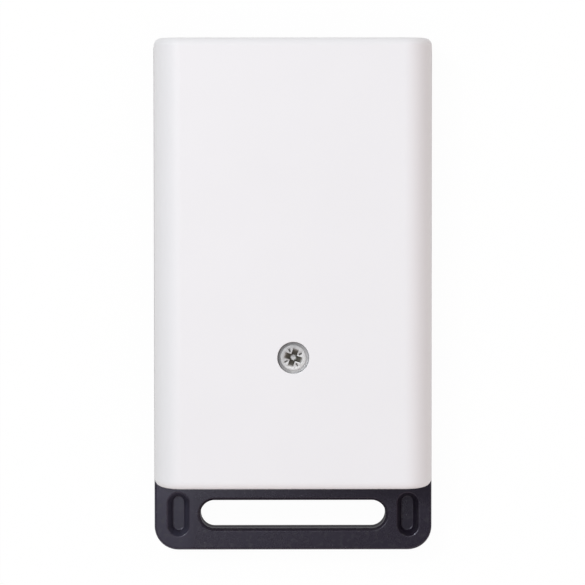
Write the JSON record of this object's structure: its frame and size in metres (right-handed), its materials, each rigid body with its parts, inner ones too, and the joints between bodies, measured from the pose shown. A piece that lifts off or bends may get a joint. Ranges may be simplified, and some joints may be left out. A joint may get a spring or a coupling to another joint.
{
  "type": "wireless remote control",
  "caption": "Slim hand-held radio remote for room lights: white screwed back cover, dark front frame with push keys, and a flat tongue with a strap slot.",
  "frame": {"origin": "under the middle of the body's outline, on the plane of the front rim that it lies on", "axes": "+X across the body, +Y along it away from the slotted tongue, +Z out of the back cover"},
  "size_m": [0.042, 0.0774, 0.0122],
  "materials": {
    "white_shell": "satin, fine grain",
    "dark_shell": "fine spark-eroded grain",
    "white_key": "satin",
    "plated_screw": "zinc plated",
    "clear_guide": "clear, polished",
    "board_laminate": "green solder mask",
    "chip_moulding": "matte black moulding",
    "tinned_metal": "bright tin",
    "copper_wire": "enamelled copper",
    "capacitor_ceramic": "fired ceramic",
    "led_body": "clear resin on white",
    "cell_can": "nickel plated",
    "switch_plastic": "black moulding"
  },
  "bodies": {
    "housing": {"front_frame": "dark_shell", "back_cover": "white_shell", "cover_screw": "plated_screw", "indicator_lens": "clear_guide", "circuit_board": "board_laminate", "microcontroller": "chip_moulding", "radio_chip": "chip_moulding", "crystal": "tinned_metal", "antenna_wire": "copper_wire", "chip_capacitors": "capacitor_ceramic", "chip_resistors": "chip_moulding", "indicator_led": "led_body", "coin_cell": "cell_can", "cell_clip": "tinned_metal", "cell_contact": "tinned_metal", "switch_base_1": "switch_plastic", "switch_cover_1": "tinned_metal", "switch_dome_1": "tinned_metal", "switch_base_2": "switch_plastic", "switch_cover_2": "tinned_metal", "switch_dome_2": "tinned_metal", "switch_base_3": "switch_plastic", "switch_cover_3": "tinned_metal", "switch_dome_3": "tinned_metal", "switch_base_4": "switch_plastic", "switch_cover_4": "tinned_metal", "switch_dome_4": "tinned_metal"},
    "key_1": {"key_1": "white_key", "switch_plunger_1": "switch_plastic"},
    "key_2": {"key_2": "white_key", "switch_plunger_2": "switch_plastic"},
    "key_3": {"key_3": "white_key", "switch_plunger_3": "switch_plastic"},
    "key_4": {"key_4": "white_key", "switch_plunger_4": "switch_plastic"}
  },
  "joints": [
    {"name": "key_1_press", "type": "slide", "parent": "housing", "child": "key_1", "axis": [0, 0, 1], "range_m": [0, 0.00035], "stiffness_N_per_m": 3000, "deforming": ["switch_dome_1"]},
    {"name": "key_2_press", "type": "slide", "parent": "housing", "child": "key_2", "axis": [0, 0, 1], "range_m": [0, 0.00035], "stiffness_N_per_m": 3000, "deforming": ["switch_dome_2"]},
    {"name": "key_3_press", "type": "slide", "parent": "housing", "child": "key_3", "axis": [0, 0, 1], "range_m": [0, 0.00035], "stiffness_N_per_m": 3000, "deforming": ["switch_dome_3"]},
    {"name": "key_4_press", "type": "slide", "parent": "housing", "child": "key_4", "axis": [0, 0, 1], "range_m": [0, 0.00035], "stiffness_N_per_m": 3000, "deforming": ["switch_dome_4"]}
  ]
}
